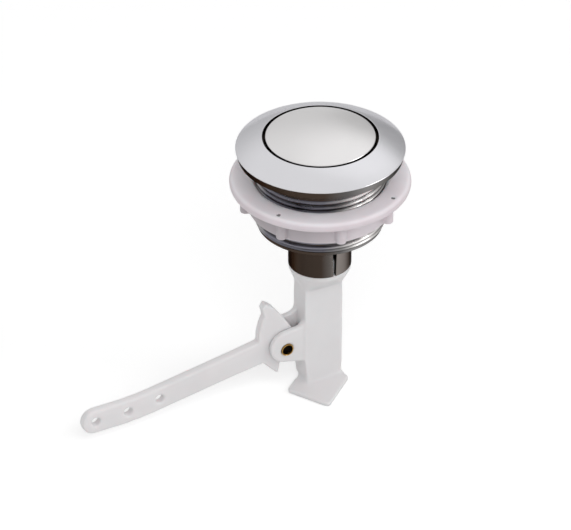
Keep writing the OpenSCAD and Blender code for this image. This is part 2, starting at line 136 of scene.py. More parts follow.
class PlasticSizes(bpy.types.PropertyGroup):
    """Softness of the moulded pieces' edges"""

    face_size: length("Faces", "Size of the even faces of the moulded pieces", 0.42 * MM)
    arm_edge: length("Arm", "Rounding of the long arm's edges", 1.0 * MM)
    lever_edge: length("Lever", "Rounding of the edges of the lever's hub, fan and tooth", 0.65 * MM)
    head_edge: length("Head", "Rounding of the frame where its head runs into the column", 0.85 * MM)
    frame_edge: length("Frame", "Rounding of the column's and the ears' edges", 0.5 * MM)
    root_edge: length("Root", "Rounding of the corner between the column and the foot plate", 1.1 * MM)
    foot_edge: length("Foot", "Rounding of the edges of the foot plate and the head's rim", 0.35 * MM)
    bore_edge: length("Bore", "Rounding of the edges round the pin", 0.3 * MM)
    nut_edge: length("Nut", "Rounding of the lock nut's edges", 0.5 * MM)
    nut_flange: length("Nut's flange", "Thickness of the lock nut's flange", 3.9 * MM)
    pit_reach: length("Pits' reach", "Distance of the lock nut's sink pits from the axis", 36.58 * MM)
    pit_turn: bpy.props.FloatProperty(name="Pits' turn", description="Turn of the first sink pit from +X",
                                      default=math.radians(32.5), subtype="ANGLE")
    pit_r: length("Pit", "Radius of a sink pit", 0.9 * MM)
    pit_h: length("Pit's depth", "Depth of a sink pit", 0.5 * MM)
    tube_edge: length("Inner tube", "Rounding of the inner tube's edges", 0.15 * MM)
    plunger_edge: length("Plunger", "Rounding of the plunger's edges", 0.3 * MM)
    pin_r: length("Pin", "Radius of the hollow pin", 3 * MM)
    pin_wall: length("Pin's wall", "Wall of the hollow pin", 0.5 * MM)


class Finishes(bpy.types.PropertyGroup):
    """Colours and gloss"""

    chrome: colour("Chrome", "Polished plate of the button", (0.86, 0.845, 0.845))
    flange: colour("Flange", "Polished plate of the flange", (0.83, 0.825, 0.855))
    flange_edge: colour("Flange's slant", "Share of the light that the flange mirrors at a slant", (0.6, 0.6, 0.61))
    chrome_gloss: share("Chrome's roughness", "Roughness of the chrome", 0.2)
    # Painted reflection: the dark plate and thread colours stand in for chrome that mirrors dark surroundings
    plate: colour("Dark plate", "Thin plate of the sleeve's neck and the inner tube", (0.052, 0.038, 0.03))
    thread: colour("Thread", "Plate of the thread", (0.05, 0.049, 0.057))
    # Painted reflection: bright colours that the plates take on towards the painted light side
    plate_painted_reflection: colour("Bright plate", "The plate on its bright side", (0.27, 0.262, 0.258))
    tube_painted_reflection: colour("Tube's plate", "The inner tube's plate on its bright side", (0.23, 0.205, 0.19))
    plate_gloss: share("Plate's roughness", "Roughness of the dark plate", 0.3)
    white: colour("White plastic", "Moulded frame, lever and plunger", (0.79, 0.775, 0.783))
    nut: colour("Nut", "Soft plastic of the lock nut", (0.92, 0.888, 0.92))
    # Painted shade on the lock nut: on its hub away from the painted light side, and on the faces below its top face
    nut_hub_painted_shade: share("Nut's hub", "How bright the hub's thin wall stays in front of the dark thread", 0.7)
    nut_side_painted_shade: colour("Nut's rim", "Share of its colour that the nut keeps below its top face", (0.775, 0.745, 0.755))
    nut_shade: colour("Nut's shade", "Pinker clouds in the lock nut's plastic", (0.86, 0.8, 0.835))
    brass: colour("Brass", "Rolled pin", (0.62, 0.38, 0.12))
    steel: colour("Spring steel", "Wire of the return spring", (0.5, 0.5, 0.51))


class StageSettings(bpy.types.PropertyGroup):
    """Floor, light and camera"""

    floor: colour("Floor", "Colour of the floor", (0.8, 0.8, 0.8))
    floor_lift: share("Floor's lift", "Light that the floor adds where it is seen or mirrored", 0.4)
    sky_low: share("Low sky", "Brightness of the surroundings at the horizon", 0.66)
    sky_high: share("High sky", "Brightness of the surroundings overhead", 0.815)
    glow: share("Glow", "Brightness that the soft patch of the sky adds", 0.14)
    glint: bpy.props.FloatProperty(name="Glint", description="Brightness of the small patch that edges mirror",
                                   default=3.6, min=0)
    shade: share("Shade", "Brightness that the dim patch of the sky takes away", 0.2)
    sky_share: share("Sky's share", "Part of the sky's brightness that lights matt surfaces", 0.79)
    key: bpy.props.FloatProperty(name="Key", description="Power of the lamp in front", default=0.95,
                                 min=0, unit="POWER")
    key_reach: length("Key's distance", "Distance of the lamp from the button", 0.55, 10)
    key_size: length("Key's size", "Width of the lamp", 0.4, 10)
    key_turn: bpy.props.FloatProperty(name="Key's turn", description="Lamp's turn round the object",
                                      default=math.radians(-20), subtype="ANGLE")
    key_rise: bpy.props.FloatProperty(name="Key's rise", description="Lamp's height over the horizon",
                                      default=math.radians(36), subtype="ANGLE")
    azimuth: bpy.props.FloatProperty(name="Azimuth", description="Camera's turn round the object",
                                     default=math.radians(-27.5), subtype="ANGLE")
    elevation: bpy.props.FloatProperty(name="Elevation", description="Camera's height over the horizon",
                                       default=math.radians(34.341), subtype="ANGLE")
    distance: length("Distance", "Distance of the camera from the point it looks at", 1.6, 10)


def settings():
    """The sizes and colours that the panel shows."""
    return bpy.context.scene.push_button


def arc(start, end, sag, steps):
    """Points of a shallow arc from start to end, which bulges to its left by sag."""
    p, q = Vector(start), Vector(end)
    chord = q - p
    left = Vector((-chord.y, chord.x)).normalized()
    radius = (chord.length ** 2 / 4 + sag ** 2) / (2 * sag)
    centre = (p + q) / 2 + left * (sag - radius)
    first = math.atan2(p.y - centre.y, p.x - centre.x)
    swing = 2 * math.asin(chord.length / 2 / radius)
    return [tuple(centre + abs(radius) * Vector((math.cos(first - swing * i / steps),
                                                 math.sin(first - swing * i / steps))))
            for i in range(steps + 1)]


def crown(radius, base, rise, steps):
    """Profile of a round crown, from its edge to its middle."""
    ball = (radius ** 2 + rise ** 2) / 2 / rise
    reach = [radius * (1 - i / steps) for i in range(steps + 1)]
    return [(x, base + rise - ball + math.sqrt(ball ** 2 - x ** 2)) for x in reach]


def turned(profile, steps=TURN_STEPS):
    """A closed profile of radii and heights, spun once round the button's axis."""
    bm = bmesh.new()
    verts = [bm.verts.new((r, 0, z)) for r, z in profile]
    edges = [bm.edges.new(pair) for pair in zip(verts, verts[1:] + verts[:1])]
    bmesh.ops.spin(bm, geom=verts + edges, cent=(0, 0, 0), axis=(0, 0, 1), angle=FULL_TURN, steps=steps,
                   use_merge=True)
    close(bm)
    return bm


def close(bm):
    """Merges doubles and turns every face outwards."""
    bmesh.ops.remove_doubles(bm, verts=bm.verts, dist=MERGE)
    bmesh.ops.recalc_face_normals(bm, faces=bm.faces)


def soften(bm, width, segments=3, angle=28, chosen=None):
    """Rounds the edges that are sharper than an angle in degrees."""
    sharp = [e for e in bm.edges if e.is_manifold and e.calc_face_angle() > math.radians(angle)
             and (chosen is None or chosen(e))]
    bmesh.ops.bevel(bm, geom=sharp, offset=width, offset_type="OFFSET", segments=segments, profile=0.5,
                    affect="EDGES", clamp_overlap=True, material=-1)


def copy_of(node):
    """A solid's own mesh, merged, with its flat faces made whole again."""
    bm = bmesh.new()
    bm.from_mesh(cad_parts[node].data)
    bmesh.ops.remove_doubles(bm, verts=bm.verts, dist=MERGE)
    bmesh.ops.dissolve_limit(bm, angle_limit=math.radians(0.6), verts=bm.verts, edges=bm.edges,
                             use_dissolve_boundaries=False, delimit=set())
    return bm


def even_faces(bm, size):
    """The same form in small even faces, which can be smoothed like a moulding."""
    mesh = bpy.data.meshes.new("blank")
    bm.to_mesh(mesh)
    bm.free()
    blank = bpy.data.objects.new("blank", mesh)
    bpy.context.scene.collection.objects.link(blank)
    grid = blank.modifiers.new("Even faces", "REMESH")
    grid.mode = "VOXEL"
    grid.voxel_size = size
    shaped = blank.evaluated_get(bpy.context.evaluated_depsgraph_get())
    even = bmesh.new()
    even.from_mesh(shaped.to_mesh())
    shaped.to_mesh_clear()
    bpy.data.objects.remove(blank)
    bpy.data.meshes.remove(mesh)
    return even


def melt(bm, face_size, rounding):
    """Rounds a moulding's edges and corners by a radius that may differ from place to place."""
    # Each pass moves a vertex halfway to its neighbours, so the rounding grows with the passes' square root
    passes = {v: round(4 * (rounding(v.co) / face_size) ** 2) for v in bm.verts}
    for done in range(max(passes.values())):
        bmesh.ops.smooth_vert(bm, verts=[v for v in bm.verts if passes[v] > done], factor=0.5,
                              use_axis_x=True, use_axis_y=True, use_axis_z=True)


def between(value, start, end, low, high):
    """A value's place from start to end, laid out from low to high."""
    return low + (high - low) * min(1, max(0, (value - start) / (end - start)))


def from_pin(place):
    """Distance of a place from the pin's axis."""
    return math.hypot(place.x - PIVOT.x, place.z - PIVOT.z)


def finish_piece(bm, node, body, materials, smooth=35):
    """Makes a mesh object of a solid's new form, which rides on the solid's body and stands for it."""
    if not bm.faces:
        raise RuntimeError(f"{node} came out empty")
    mesh = bpy.data.meshes.new(node + "_finished")
    bm.to_mesh(mesh)
    bm.free()
    for material in materials:
        mesh.materials.append(material)
    mesh.shade_smooth()
    mesh.set_sharp_from_angle(angle=math.radians(smooth))
    piece = bpy.data.objects.new(node + "_finished", mesh)
    bpy.context.scene.collection.objects.link(piece)
    normals = piece.modifiers.new("Flat faces stay flat", "WEIGHTED_NORMAL")
    normals.keep_sharp = True
    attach(piece, body)
    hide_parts(node)
    return piece


def add_node(material, kind, **sockets):
    """A shader node with the given inputs."""
    made = material.node_tree.nodes.new(kind)
    for name, value in sockets.items():
        made.inputs[name.replace("_", " ")].default_value = value
    return made


def object_noise(material, scale, detail):
    """Noise that keeps to the piece, at a scale in patches per metre."""
    place = material.node_tree.nodes.new("ShaderNodeTexCoord")
    noise = add_node(material, "ShaderNodeTexNoise", Scale=scale, Detail=detail, Roughness=0.55)
    material.node_tree.links.new(place.outputs["Object"], noise.inputs["Vector"])
    return noise


def ramp_between(material, source, low, high, start=0.3, end=0.7):
    """A ramp from one colour to another over part of a source's values."""
    ramp = material.node_tree.nodes.new("ShaderNodeValToRGB")
    ramp.color_ramp.elements[0].position = start
    ramp.color_ramp.elements[0].color = (*low, 1)
    ramp.color_ramp.elements[1].position = end
    ramp.color_ramp.elements[1].color = (*high, 1)
    material.node_tree.links.new(source, ramp.inputs["Fac"])
    return ramp.outputs["Color"]


def spread(material, source, low, high):
    """A source's values laid out between two numbers."""
    limits = add_node(material, "ShaderNodeMapRange", From_Min=0.3, From_Max=0.7, To_Min=low, To_Max=high)
    material.node_tree.links.new(source, limits.inputs["Value"])
    return limits.outputs["Result"]


def bump_from(material, source, strength, depth):
    """A bump on the material's shader."""
    bump = add_node(material, "ShaderNodeBump", Strength=strength, Distance=depth)
    links = material.node_tree.links
    links.new(source, bump.inputs["Height"])
    links.new(bump.outputs["Normal"], shader_of(material).inputs["Normal"])


def shader_of(material):
    """The material's main shader."""
    return material.node_tree.nodes["Principled BSDF"]


def new_material(name):
    """A material with its shader alone."""
    material = bpy.data.materials.new(name)
    material.use_nodes = True
    return material


def scaled(values, factor):
    """A colour made lighter or darker."""
    return tuple(min(1.0, v * factor) for v in values)


def metal(name, base, roughness, tarnish, wave_depth):
    """A plated metal with faint clouding, fine scratches of gloss and a slight wave in its polish."""
    made = bpy.data.materials.get(name)
    if made:
        return made
    material = new_material(name)
    shader = shader_of(material)
    links = material.node_tree.links
    shader.inputs["Metallic"].default_value = 1.0
    cloud = object_noise(material, 45, 3)
    links.new(ramp_between(material, cloud.outputs["Fac"], scaled(base, tarnish), base),
              shader.inputs["Base Color"])
    smear = object_noise(material, 160, 4)
    links.new(spread(material, smear.outputs["Fac"], roughness * 0.85, roughness * 1.2),
              shader.inputs["Roughness"])
    wave = object_noise(material, 90, 1)
    bump_from(material, wave.outputs["Fac"], 0.25, wave_depth)
    return material


def plastic(name, base, shade, roughness, glow):
    """A moulded plastic with light that sinks in, a faint cloud of colour and a fine matt grain."""
    made = bpy.data.materials.get(name)
    if made:
        return made
    material = new_material(name)
    shader = shader_of(material)
    links = material.node_tree.links
    cloud = object_noise(material, 38, 3)
    links.new(ramp_between(material, cloud.outputs["Fac"], shade, base, 0.25, 0.62),
              shader.inputs["Base Color"])
    grain = object_noise(material, 900, 3)
    links.new(spread(material, grain.outputs["Fac"], roughness - 0.05, roughness + 0.07),
              shader.inputs["Roughness"])
    bump_from(material, grain.outputs["Fac"], 0.12, 0.05 * MM)
    shader.inputs["Subsurface Weight"].default_value = glow
    shader.inputs["Subsurface Radius"].default_value = (1.0, 0.82, 0.82)
    shader.inputs["Subsurface Scale"].default_value = 3 * MM
    return material


def chrome():
    finish = settings().finishes
    return metal("chrome", finish.chrome, finish.chrome_gloss, 0.97, 0.01 * MM)


def around_axis(material, side):
    """How far a place lies towards one side of the button's axis, from 0 to 1."""
    nodes, links = material.node_tree.nodes, material.node_tree.links
    place = nodes.new("ShaderNodeTexCoord")
    flat = nodes.new("ShaderNodeVectorMath")
    flat.operation = "MULTIPLY"
    flat.inputs[1].default_value = (1, 1, 0)
    links.new(place.outputs["Object"], flat.inputs[0])
    ray = nodes.new("ShaderNodeVectorMath")
    ray.operation = "NORMALIZE"
    links.new(flat.outputs["Vector"], ray.inputs[0])
    towards = nodes.new("ShaderNodeVectorMath")
    towards.operation = "DOT_PRODUCT"
    towards.inputs[1].default_value = side
    links.new(ray.outputs["Vector"], towards.inputs[0])
    half = add_node(material, "ShaderNodeMapRange", From_Min=-1, From_Max=1, To_Min=0, To_Max=1)
    links.new(towards.outputs["Value"], half.inputs["Value"])
    return half.outputs["Result"]


def painted_reflection_colour(material, base, bright, far_side):
    """A painted reflection: the plate's colour turns from its base to bright steel round the axis, brightest towards
    the painted light side.
    """
    ramp = material.node_tree.nodes.new("ShaderNodeValToRGB")
    stops = ramp.color_ramp.elements
    stops[0].color = (*far_side, 1)
    stops[1].color = (*scaled(bright, 0.5), 1)
    for place, tone in ((0.09, scaled(base, 1.5)), (0.25, base), (0.52, scaled(base, 1.1)), (0.66, scaled(bright, 0.42)), (0.78, bright),
                        (0.88, scaled(bright, 0.9))):
        stops.new(place).color = (*tone, 1)
    material.node_tree.links.new(around_axis(material, PAINTED_LIGHT_SIDE), ramp.inputs["Fac"])
    return ramp.outputs["Color"]


def flange_chrome():
    """The chrome of the flange, which darkens where it is seen at a slant."""
    finish = settings().finishes
    material = metal("flange_chrome", finish.flange, finish.chrome_gloss, 0.97, 0.01 * MM)
    shader_of(material).inputs["Specular Tint"].default_value = (*finish.flange_edge, 1)
    return material


def plated(name):
    """A polished plate with smears of gloss and a slight wave, to which its callers give a painted dark and bright
    colour.
    """
    material = new_material(name)
    finish = settings().finishes
    shader_of(material).inputs["Metallic"].default_value = 1.0
    shader_of(material).inputs["Specular Tint"].default_value = (*scaled(finish.plate_painted_reflection, 0.6), 1)
    smear = object_noise(material, 160, 4)
    material.node_tree.links.new(
        spread(material, smear.outputs["Fac"], finish.plate_gloss * 0.85, finish.plate_gloss * 1.2),
        shader_of(material).inputs["Roughness"])
    wave = object_noise(material, 90, 1)
    bump_from(material, wave.outputs["Fac"], 0.25, 0.015 * MM)
    return material


def plate_with_painted_reflection():
    # Painted reflection: a dark base for chrome that mirrors dark surroundings, turning bright towards the painted
    # light side
    material = plated("plate_with_painted_reflection")
    finish = settings().finishes
    colour_here = painted_reflection_colour(material, finish.plate, finish.plate_painted_reflection, scaled(finish.plate, 2.6))
    material.node_tree.links.new(colour_here, shader_of(material).inputs["Base Color"])
    return material


def tube_with_painted_reflection():
    # Painted reflection on the inner tube: a dark base for chrome that mirrors dark surroundings, brighter towards
    # the painted light side
    material = plated("tube_with_painted_reflection")
    base, bright = scaled(settings().finishes.plate, 0.75), settings().finishes.tube_painted_reflection
    colour_here = painted_reflection_colour(material, base, bright, scaled(base, 2.4))
    material.node_tree.links.new(colour_here, shader_of(material).inputs["Base Color"])
    return material


def thread_with_painted_light(root_r, crest_r):
    """The thread's plate: a painted reflection round the axis, a painted highlight on the crests and painted shade
    deep in the roots.
    """
    material = plated("thread_with_painted_light")
    nodes, links = material.node_tree.nodes, material.node_tree.links
    place = nodes.new("ShaderNodeTexCoord")
    flat = nodes.new("ShaderNodeVectorMath")
    flat.operation = "MULTIPLY"
    flat.inputs[1].default_value = (1, 1, 0)
    links.new(place.outputs["Object"], flat.inputs[0])
    reach = nodes.new("ShaderNodeVectorMath")
    reach.operation = "LENGTH"
    links.new(flat.outputs["Vector"], reach.inputs[0])
    # Painted highlight on the crests and painted shade in the roots
    crest_highlight_root_shade = add_node(material, "ShaderNodeMapRange", From_Min=root_r, From_Max=crest_r, To_Min=0.75, To_Max=3.3)
    links.new(reach.outputs["Value"], crest_highlight_root_shade.inputs["Value"])
    tone = nodes.new("ShaderNodeVectorMath")
    tone.operation = "SCALE"
    finish = settings().finishes
    around = painted_reflection_colour(material, finish.thread, finish.plate_painted_reflection, scaled(finish.plate_painted_reflection, 0.8))
    links.new(around, tone.inputs[0])
    links.new(crest_highlight_root_shade.outputs["Result"], tone.inputs["Scale"])
    links.new(tone.outputs["Vector"], shader_of(material).inputs["Base Color"])
    return material


def white_plastic():
    finish = settings().finishes
    return plastic("white_plastic", finish.white, scaled(finish.white, 0.95), 0.42, 0.5)


def toned(material, tone):
    """Multiplies the colour that the material's shader has by a tone."""
    base = shader_of(material).inputs["Base Color"]
    product = material.node_tree.nodes.new("ShaderNodeVectorMath")
    product.operation = "MULTIPLY"
    material.node_tree.links.new(base.links[0].from_socket, product.inputs[0])
    material.node_tree.links.new(tone, product.inputs[1])
    material.node_tree.links.new(product.outputs["Vector"], base)


def nut_plastic(nut_top, hub_top):
    """The nut's plastic with painted shade: darker and a little pinker below its top face, and darker on the hub
    away from the painted light side.
    """
    finish = settings().finishes
    material = plastic("milky_plastic", finish.nut, finish.nut_shade, 0.45, 0.5)
    nodes, links = material.node_tree.nodes, material.node_tree.links
    # Painted shade on the hub, darkest away from the painted light side
    through = ramp_between(material, around_axis(material, PAINTED_LIGHT_SIDE), (finish.nut_hub_painted_shade,) * 3, (1, 1, 1), 0.4, 0.75)
    place = nodes.new("ShaderNodeTexCoord")
    height = nodes.new("ShaderNodeSeparateXYZ")
    links.new(place.outputs["Object"], height.inputs["Vector"])
    above = add_node(material, "ShaderNodeMapRange", From_Min=hub_top - 1 * MM, From_Max=hub_top + 0.3 * MM)
    links.new(height.outputs["Z"], above.inputs["Value"])
    tone = nodes.new("ShaderNodeVectorMath")
    tone.operation = "MAXIMUM"
    links.new(above.outputs["Result"], tone.inputs[0])
    links.new(through, tone.inputs[1])
    toned(material, tone.outputs["Vector"])
    # Painted shade on the faces below the nut's top face
    face = add_node(material, "ShaderNodeMapRange", From_Min=nut_top - 1.3 * MM, From_Max=nut_top - 0.3 * MM)
    links.new(height.outputs["Z"], face.inputs["Value"])
    toned(material, ramp_between(material, face.outputs["Result"], finish.nut_side_painted_shade, (1, 1, 1), 0, 1))
    return material


# Painted shade: near-black plastic for the sink pits
def painted_pit_shade():
    shade = settings().finishes.nut_shade
    return plastic("painted_pit_shade", scaled(shade, 0.3), scaled(shade, 0.2), 0.5, 0.1)


def brass():
    return metal("rolled_brass", settings().finishes.brass, 0.24, 0.55, 0.02 * MM)


# Painted shade: near-black brass for the pin's bore
def painted_bore_shade():
    return metal("painted_bore_shade", scaled(settings().finishes.brass, 0.05), 0.5, 0.6, 0.02 * MM)


# Painted shade: a near-black plate for the walls of gaps and bores, where shade falls
def painted_gap_shade():
    return metal("painted_gap_shade", scaled(settings().finishes.plate, 0.6), 0.5, 0.8, 0.01 * MM)


def spring_steel():
    return metal("drawn_steel", settings().finishes.steel, 0.3, 0.8, 0.01 * MM)


def cut_thread(bm, radius, low, high, pitch, depth):
    """Presses a spiral groove into the rings of a turned wall, with narrow round crests."""
    run_out = pitch / 2
    for v in bm.verts:
        reach = math.hypot(v.co.x, v.co.y)
        if abs(reach - radius) > MERGE * 2 or not low < v.co.z < high:
            continue
        turn = math.atan2(v.co.y, v.co.x) / FULL_TURN
        phase = (v.co.z / pitch - turn) % 1
        valley = min(1, max(0, 1.9 * abs(2 * phase - 1) - 0.55))
        fade = min(1, (v.co.z - low) / run_out, (high - v.co.z) / run_out)
        shrink = 1 - depth * valley * fade / reach
        v.co.x *= shrink
        v.co.y *= shrink


class PUSHBUTTON_OT_bezel(bpy.types.Operator):
    """Turns the domed flange with its threaded sleeve"""

    bl_idname = "push_button.bezel"
    bl_label = "Bezel"

    def execute(self, context):
        size = settings().bezel
        rim_r = BEZEL_HIGH.x
        top_z = BEZEL_HIGH.z
        end_z = BEZEL_LOW.z
        seat_r = rim_r - size.rim_draft
        pilot_r = size.thread_r - size.pilot_step
        thread_low = end_z + size.pilot_h + size.pilot_step
        thread_high = -size.thread_start
        rings = round((thread_high - thread_low) / size.thread_pitch * 12)
        sleeve = [(size.thread_r, between(i, 0, rings, thread_low, thread_high)) for i in range(rings + 1)]
        dome = arc((rim_r, size.rim_h), (size.opening_r, top_z), -size.dome_sag, 14)
        bm = turned([
            (size.bore_r, end_z), (pilot_r, end_z), (pilot_r, end_z + size.pilot_h), *sleeve,
            (size.thread_r, 0), (size.thread_r + size.recess_h / 2, size.recess_h),
            (seat_r - size.seat_w - size.recess_h / 4, size.recess_h),
            (seat_r - size.seat_w, 0), (seat_r, 0), *dome,
            (size.opening_r, top_z - size.lip_t), (size.bore_r, top_z - size.lip_t)])
        soften(bm, size.edge, chosen=lambda e: e.verts[0].co.z > -MERGE or e.verts[0].co.z < thread_low)
        cut_thread(bm, size.thread_r, thread_low, thread_high, size.thread_pitch, size.thread_depth)
        root_r = size.thread_r - size.thread_depth
        # Chrome on the dome, the underside and the lip; painted reflection with painted crest highlights on the
        # thread; painted reflection on the neck and rim side; painted shade on the bore below the lip's shine
        for face in bm.faces:
            middle = face.calc_center_median()
            reach = math.hypot(middle.x, middle.y)
            on_dome = middle.z > size.rim_h - size.edge and face.normal.z > 0.05
            on_thread = thread_low < middle.z < thread_high and reach > root_r - MERGE
            underneath = middle.z > -MERGE and face.normal.z < -0.5
            inside = reach < size.bore_r + MERGE and middle.z < top_z - size.lip_shine
            lip = reach < size.bore_r and not inside
            face.material_index = 0 if on_dome or underneath or lip else 1 if on_thread else 3 if inside else 2
        finish_piece(bm, "bezel", "body",
                     [flange_chrome(), thread_with_painted_light(root_r, size.thread_r), plate_with_painted_reflection(), painted_gap_shade()])
        return {"FINISHED"}


class PUSHBUTTON_OT_cap(bpy.types.Operator):
    """Turns the crowned button cap with its skirt and boss"""

    bl_idname = "push_button.cap"
    bl_label = "Button cap"

    def execute(self, context):
        size = settings().button
        cap_r = CAP_HIGH.x
        edge_z = CAP_HIGH.z - size.crown_h
        inner_r = cap_r - size.cap_t
        under = crown(inner_r, edge_z - size.cap_t, size.crown_h, 10)
        boss = [p for p in under if p[0] > size.boss_r]
        ceiling = CAP_HIGH.z - size.cap_t
        bm = turned([
            (inner_r, CAP_LOW.z), (cap_r, CAP_LOW.z), *crown(cap_r, edge_z, size.crown_h, 18),
            (0, ceiling), (size.socket_r, ceiling), (size.socket_r, size.socket_z),
            (size.boss_r, size.socket_z), (size.boss_r, boss[-1][1]), *reversed(boss)])
        soften(bm, size.edge, segments=4, chosen=lambda e: all(abs(v.co.z - edge_z) < MERGE for v in e.verts))
        # Chrome on the crown; painted shade on the skirt, the underside and the boss
        for face in bm.faces:
            on_crown = face.normal.z > 0.25 and face.calc_center_median().z > edge_z - size.edge
            face.material_index = 0 if on_crown else 1
        finish_piece(bm, "button_cap", "button", [chrome(), painted_gap_shade()])
        return {"FINISHED"}


class PUSHBUTTON_OT_inner_tube(bpy.types.Operator):
    """Softens the inner tube's edges and gives it a painted reflection outside and painted shade inside"""

    bl_idname = "push_button.inner_tube"
    bl_label = "Inner tube"

    def execute(self, context):
        bm = copy_of("inner_tube")
        soften(bm, settings().plastics.tube_edge, segments=2)
        # Painted reflection on the outer faces, painted shade on the inner ones
        for face in bm.faces:
            middle = face.calc_center_median()
            outward = Vector((middle.x, middle.y, 0)).normalized().dot(face.normal)
            face.material_index = 0 if outward > 0.6 else 1
        finish_piece(bm, "inner_tube", "body", [tube_with_painted_reflection(), painted_gap_shade()])
        return {"FINISHED"}


class PUSHBUTTON_OT_plunger(bpy.types.Operator):
    """Softens the plunger's ribs and head"""

    bl_idname = "push_button.plunger"
    bl_label = "Plunger"

    def execute(self, context):
        bm = copy_of("plunger")
        soften(bm, settings().plastics.plunger_edge, segments=2)
        finish_piece(bm, "plunger", "button", [white_plastic()])
        return {"FINISHED"}


class PUSHBUTTON_OT_spring(bpy.types.Operator):
    """Winds the return spring"""

    bl_idname = "push_button.spring"
    bl_label = "Return spring"

    def execute(self, context):
        size = settings().button
        steps = 32 * size.coil_turns
        mean_r = SPRING_HIGH.x - size.wire_r
        low = SPRING_LOW.z + size.wire_r
        rise = SPRING_HIGH.z - size.wire_r - low
        bm = bmesh.new()
        ring = bmesh.ops.create_circle(bm, segments=12, radius=size.wire_r, cap_ends=True)
        upright = Matrix.Rotation(math.pi / 2, 4, "X")
        bmesh.ops.transform(bm, matrix=Matrix.Translation((mean_r, 0, low)) @ upright, verts=ring["verts"])
        bmesh.ops.spin(bm, geom=bm.faces[:], cent=(0, 0, 0), axis=(0, 0, 1), dvec=(0, 0, rise / steps),
                       angle=FULL_TURN * size.coil_turns, steps=steps)
        close(bm)
        piece = finish_piece(bm, "return_spring", "body", [spring_steel()])
        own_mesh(piece)
        return {"FINISHED"}


class PUSHBUTTON_OT_lock_nut(bpy.types.Operator):
    """Softens the lock nut's rim and grip lugs"""

    bl_idname = "push_button.lock_nut"
    bl_label = "Lock nut"

    def execute(self, context):
        size = settings().plastics
        nut_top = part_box("lock_nut")[1].z
        pits = [Vector((math.cos(turn), math.sin(turn), 0)) * size.pit_reach
                for turn in (size.pit_turn + FULL_TURN / 4 * i for i in range(4))]

        def pit_distance(place):
            return min((Vector((place.x, place.y, 0)) - pit).length for pit in pits)

        def rounding(place):
            return 0 if pit_distance(place) < 2 * size.pit_r and place.z > nut_top - size.pit_r else size.nut_edge

        bm = even_faces(copy_of("lock_nut"), size.face_size)
        melt(bm, size.face_size, rounding)
        for face in bm.faces:
            middle = face.calc_center_median()
            # Painted shade in the sink pits
            in_pit = pit_distance(middle) < size.pit_r and nut_top - size.pit_h * 1.5 < middle.z < nut_top - size.pit_h / 4
            face.material_index = 1 if in_pit else 0
        finish_piece(bm, "lock_nut", "nut",
                     [nut_plastic(nut_top, nut_top - size.nut_flange), painted_pit_shade()], smooth=180)
        return {"FINISHED"}


class PUSHBUTTON_OT_frame(bpy.types.Operator):
    """Softens the moulded frame's edges and corners"""

    bl_idname = "push_button.frame"
    bl_label = "Frame"

    def execute(self, context):
        size = settings().plastics
        # Heights of the rim, the head, the foot plate and its root, and the distance over which roundings blend
        rim_h, head_h, plate_h, root_h, blend = 1 * MM, 13 * MM, 3 * MM, 8 * MM, 4 * MM
        column_low, column_high = (Vector((-12.5, -8.5, 0)) * MM, Vector((11, 8.5, 0)) * MM)

        def rounding(place):
            drop, rise = TUBE_LOW.z - place.z, place.z - FOOT_Z
            by_column = column_low.x < place.x < column_high.x and column_low.y < place.y < column_high.y
            if rise < plate_h and not by_column:
                return size.foot_edge
            if rise < root_h:
                return between(rise, root_h - blend, root_h, size.root_edge, size.frame_edge)
            if drop < head_h + blend:
                return min(between(drop, rim_h, rim_h + blend, size.foot_edge, size.head_edge),
                           between(drop, head_h, head_h + blend, size.head_edge, size.frame_edge))
            return between(from_pin(place) - size.pin_r, 0, blend, size.bore_edge, size.frame_edge)

        bm = even_faces(copy_of("frame"), size.face_size)
        melt(bm, size.face_size, rounding)
        finish_piece(bm, "frame", "body", [white_plastic()], smooth=180)
        return {"FINISHED"}


class PUSHBUTTON_OT_pin(bpy.types.Operator):
    """Turns the hollow pin with its rolled ends and a bore painted dark as shade"""

    bl_idname = "push_button.pin"
    bl_label = "Pivot pin"

    def execute(self, context):
        size = settings().plastics
        half = PIN_HIGH.y - PIVOT.y
        bore_r = size.pin_r - size.pin_wall
        lip, mouth = 0.12 * MM, 1.2 * MM
        outer = [(size.pin_r, half - 2 * lip), (size.pin_r - lip, half), (bore_r + lip, half),
                 (bore_r, half - lip), (bore_r, half - mouth)]
        bm = turned(outer + [(r, -z) for r, z in reversed(outer)], steps=48)
        bmesh.ops.rotate(bm, verts=bm.verts, cent=(0, 0, 0), matrix=Matrix.Rotation(math.pi / 2, 3, "X"))
        bmesh.ops.translate(bm, verts=bm.verts, vec=PIVOT)
        for face in bm.faces:
            middle = face.calc_center_median()
            # Painted shade inside the bore
            inside = from_pin(middle) < bore_r + MERGE and abs(middle.y - PIVOT.y) < half - mouth
            face.material_index = 1 if inside else 0
        finish_piece(bm, "pivot_pin", "body", [brass(), painted_bore_shade()])
        return {"FINISHED"}


class PUSHBUTTON_OT_lever(bpy.types.Operator):
    """Softens the lever's edges and its chain holes"""

    bl_idname = "push_button.lever"
    bl_label = "Lever"

    def execute(self, context):
        size = settings().plastics
        # The arm's softer edges begin beyond the fan and run out over this distance
        hub_reach, blend = 14 * MM, 10 * MM
        bm = even_faces(copy_of("lever"), size.face_size)
        melt(bm, size.face_size,
             lambda place: between(PIVOT.x - place.x - hub_reach, 0, blend, size.lever_edge, size.arm_edge))
        finish_piece(bm, "lever", "lever", [white_plastic()], smooth=180)
        return {"FINISHED"}


def area_lamp(name, place, aim, size, power, tint=(1, 1, 1)):
    """A square lamp that faces a point."""
    data = bpy.data.lights.new(name, "AREA")
    data.shape = "SQUARE"
    data.size = size
    data.energy = power
    data.color = tint
    lamp = bpy.data.objects.new(name, data)
    bpy.context.scene.collection.objects.link(lamp)
    lamp.location = place
    lamp.rotation_euler = (Vector(aim) - Vector(place)).to_track_quat("-Z", "Y").to_euler()
    return lamp


